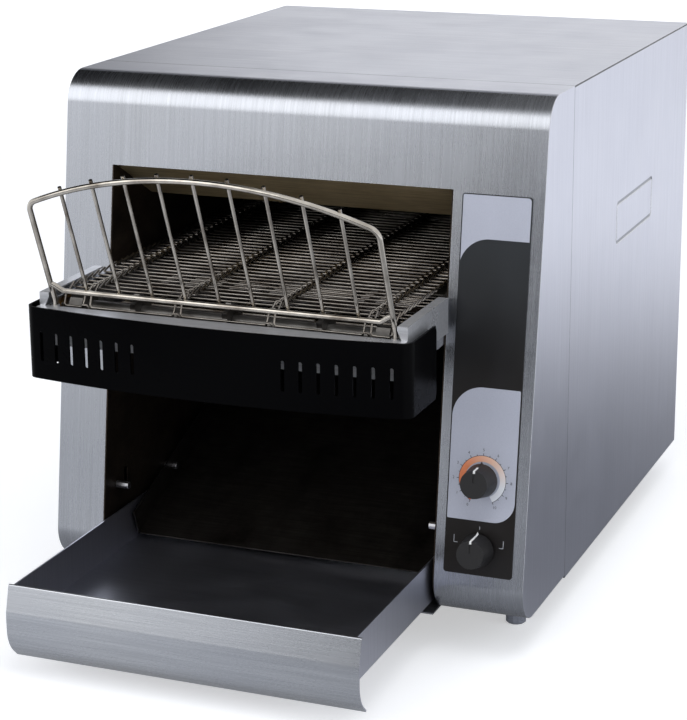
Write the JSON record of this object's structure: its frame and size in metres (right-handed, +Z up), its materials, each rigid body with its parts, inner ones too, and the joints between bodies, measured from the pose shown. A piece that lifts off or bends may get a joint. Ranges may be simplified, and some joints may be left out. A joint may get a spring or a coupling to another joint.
{
  "type": "countertop conveyor toaster",
  "caption": "Countertop conveyor toaster: a wire belt carries bread off a wire rack into a heated tunnel, and it slides back out into a tray below.",
  "frame": {"origin": "on the counter, below the middle of the overall width and depth", "axes": "+X to the operator's right as they face the machine, +Y from the tray at the front to the rear panel, +Z up"},
  "size_m": [0.368, 0.596, 0.394],
  "materials": {
    "brushed_stainless": "vertical satin grain",
    "stainless_sheet": "plain mill finish",
    "aluminised_sheet": "dull silver",
    "bright_wire": "bright plated",
    "belt_wire": "bright drawn wire",
    "black_enamel": "gloss black",
    "overlay_film": "printed film, bare of words",
    "black_plastic": "matt black",
    "dark_steel": "oiled",
    "bronze": "sintered",
    "element_sheath": "heat-darkened sheath",
    "ceramic": "fired white",
    "insulation_wool": "fibre mat",
    "motor_case": "black lacquer",
    "gearbox_case": "die cast",
    "board": "green laminate with black parts",
    "foot_plastic": "black"
  },
  "bodies": {
    "casing": {"front_bezel": "brushed_stainless", "top_cover": "brushed_stainless", "left_panel": "brushed_stainless", "right_panel": "brushed_stainless", "rear_panel": "stainless_sheet", "base_pan": "stainless_sheet", "entry_baffle": "stainless_sheet", "left_liner": "stainless_sheet", "right_liner": "stainless_sheet", "upper_reflector": "aluminised_sheet", "lower_reflector": "aluminised_sheet", "insulation_pad": "insulation_wool", "upper_elements": "element_sheath", "lower_elements": "element_sheath", "element_ends": "ceramic", "left_arm": "stainless_sheet", "right_arm": "stainless_sheet", "belt_supports": "stainless_sheet", "idler_bushes": "bronze", "drive_bushes": "bronze", "front_trough": "brushed_stainless", "burn_guard": "black_enamel", "guard_spacers": "stainless_sheet", "conveyor_belt": "belt_wire", "drive_chain": "dark_steel", "gearbox": "gearbox_case", "drive_motor": "motor_case", "toast_slide": "aluminised_sheet", "slide_pins": "stainless_sheet", "tray_runners": "stainless_sheet", "control_overlay": "overlay_film", "speed_control": "black_plastic", "power_switch": "black_plastic", "control_board": "board", "terminal_block": "ceramic", "cord_gland": "black_plastic", "fan_housing": "motor_case", "foot_sleeves": "stainless_sheet", "foot_nuts": "dark_steel", "panel_screws": "dark_steel"},
    "drive": {"drive_shaft": "dark_steel", "drive_sprockets": "dark_steel", "shaft_sprocket": "dark_steel"},
    "idler": {"idler_shaft": "dark_steel", "idler_sprockets": "dark_steel"},
    "motor_output": {"motor_shaft": "dark_steel", "motor_sprocket": "dark_steel"},
    "fan": {"fan_rotor": "black_plastic"},
    "speed_dial": {"speed_knob": "black_plastic", "speed_spindle": "dark_steel"},
    "power_dial": {"power_knob": "black_plastic", "power_spindle": "dark_steel"},
    "rack": {"wire_rack": "bright_wire"},
    "tray": {"discharge_tray": "brushed_stainless"},
    "foot_front_left_body": {"foot_front_left": "foot_plastic"},
    "foot_front_right_body": {"foot_front_right": "foot_plastic"},
    "foot_rear_left_body": {"foot_rear_left": "foot_plastic"},
    "foot_rear_right_body": {"foot_rear_right": "foot_plastic"}
  },
  "joints": [
    {"name": "belt_drive", "type": "hinge", "parent": "casing", "child": "drive", "pos_m": [-0.0137, 0.1933, 0.24328], "axis": [-1, 0, 0], "continuous": true, "deforming": ["conveyor_belt", "drive_chain"]},
    {"name": "idler_turn", "type": "hinge", "parent": "casing", "child": "idler", "pos_m": [-0.0137, -0.198, 0.24328], "axis": [-1, 0, 0], "continuous": true},
    {"name": "motor_turn", "type": "hinge", "parent": "casing", "child": "motor_output", "pos_m": [0.13205, 0.1933, 0.08391], "axis": [-1, 0, 0], "continuous": true},
    {"name": "fan_spin", "type": "hinge", "parent": "casing", "child": "fan", "pos_m": [-0.06, 0.277, 0.1022], "axis": [0, 1, 0], "continuous": true},
    {"name": "speed_turn", "type": "hinge", "parent": "casing", "child": "speed_dial", "pos_m": [0.1502, -0.14343, 0.13058], "axis": [0, -0.9904, 0.1383], "range_deg": [-152, 152]},
    {"name": "power_turn", "type": "hinge", "parent": "casing", "child": "power_dial", "pos_m": [0.1502, -0.15033, 0.08118], "axis": [0, -0.9904, 0.1383], "range_deg": [-180, 90]},
    {"name": "rack_lift", "type": "slide", "parent": "casing", "child": "rack", "axis": [0, 0, 1], "range_m": [0, 0.05]},
    {"name": "tray_draw", "type": "slide", "parent": "casing", "child": "tray", "axis": [0, -1, 0], "range_m": [0, 0.2]},
    {"name": "front_left_level", "type": "slide", "parent": "casing", "child": "foot_front_left_body", "axis": [0, 0, -1], "range_m": [0, 0.01]},
    {"name": "front_right_level", "type": "slide", "parent": "casing", "child": "foot_front_right_body", "axis": [0, 0, -1], "range_m": [0, 0.01]},
    {"name": "rear_left_level", "type": "slide", "parent": "casing", "child": "foot_rear_left_body", "axis": [0, 0, -1], "range_m": [0, 0.01]},
    {"name": "rear_right_level", "type": "slide", "parent": "casing", "child": "foot_rear_right_body", "axis": [0, 0, -1], "range_m": [0, 0.01]}
  ],
  "couplings": [
    {"joint": "idler_turn", "follows": "belt_drive", "ratio": 1},
    {"joint": "motor_turn", "follows": "belt_drive", "ratio": 1.5}
  ]
}
